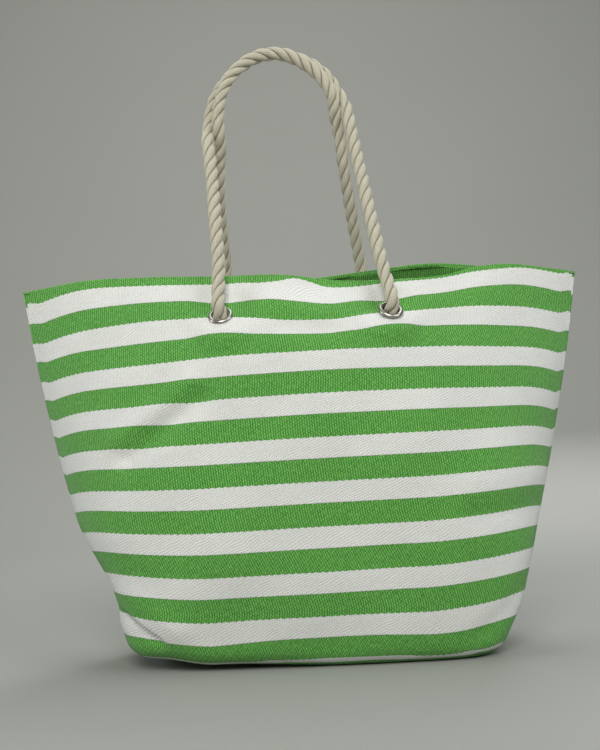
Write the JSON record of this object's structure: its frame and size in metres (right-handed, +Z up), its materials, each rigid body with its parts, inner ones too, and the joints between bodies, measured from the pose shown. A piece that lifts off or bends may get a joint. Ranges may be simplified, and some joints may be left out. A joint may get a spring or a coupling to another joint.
{
  "type": "beach bag",
  "caption": "Soft open-top beach tote with a flat boxed base, horizontal stripes and two rope handles through metal eyelets.",
  "frame": {"origin": "centre of the flat base, on the surface that the bag stands on", "axes": "+Z up towards the mouth, X along the bag's width, -Y out of the front panel"},
  "size_m": [0.5692, 0.1898, 0.6288],
  "materials": {
    "striped_cloth": "matte woven, green and white horizontal stripes",
    "facing_cloth": "matte woven",
    "lining_cloth": "matte plain weave",
    "nickel": "bright nickel plate",
    "rope": "matte twisted cotton, three strands"
  },
  "bodies": {
    "bag": {"front_panel": "striped_cloth", "back_panel": "striped_cloth", "front_hem_facing": "facing_cloth", "back_hem_facing": "facing_cloth", "front_lining": "lining_cloth", "back_lining": "lining_cloth", "inner_slip_pocket": "lining_cloth", "front_left_eyelet": "nickel", "front_right_eyelet": "nickel", "back_left_eyelet": "nickel", "back_right_eyelet": "nickel", "front_left_washer": "nickel", "front_right_washer": "nickel", "back_left_washer": "nickel", "back_right_washer": "nickel", "front_left_rope_knot": "rope", "front_right_rope_knot": "rope", "back_left_rope_knot": "rope", "back_right_rope_knot": "rope"},
    "front_handle": {"front_rope_handle": "rope"},
    "back_handle": {"back_rope_handle": "rope"}
  },
  "joints": [
    {"name": "front_handle_swing", "type": "hinge", "parent": "bag", "child": "front_handle", "pos_m": [0, -0.07934, 0.33104], "axis": [1, 0, 0], "range_deg": [0, 175]},
    {"name": "back_handle_swing", "type": "hinge", "parent": "bag", "child": "back_handle", "pos_m": [0, 0.07934, 0.33104], "axis": [-1, 0, 0], "range_deg": [0, 175]}
  ]
}
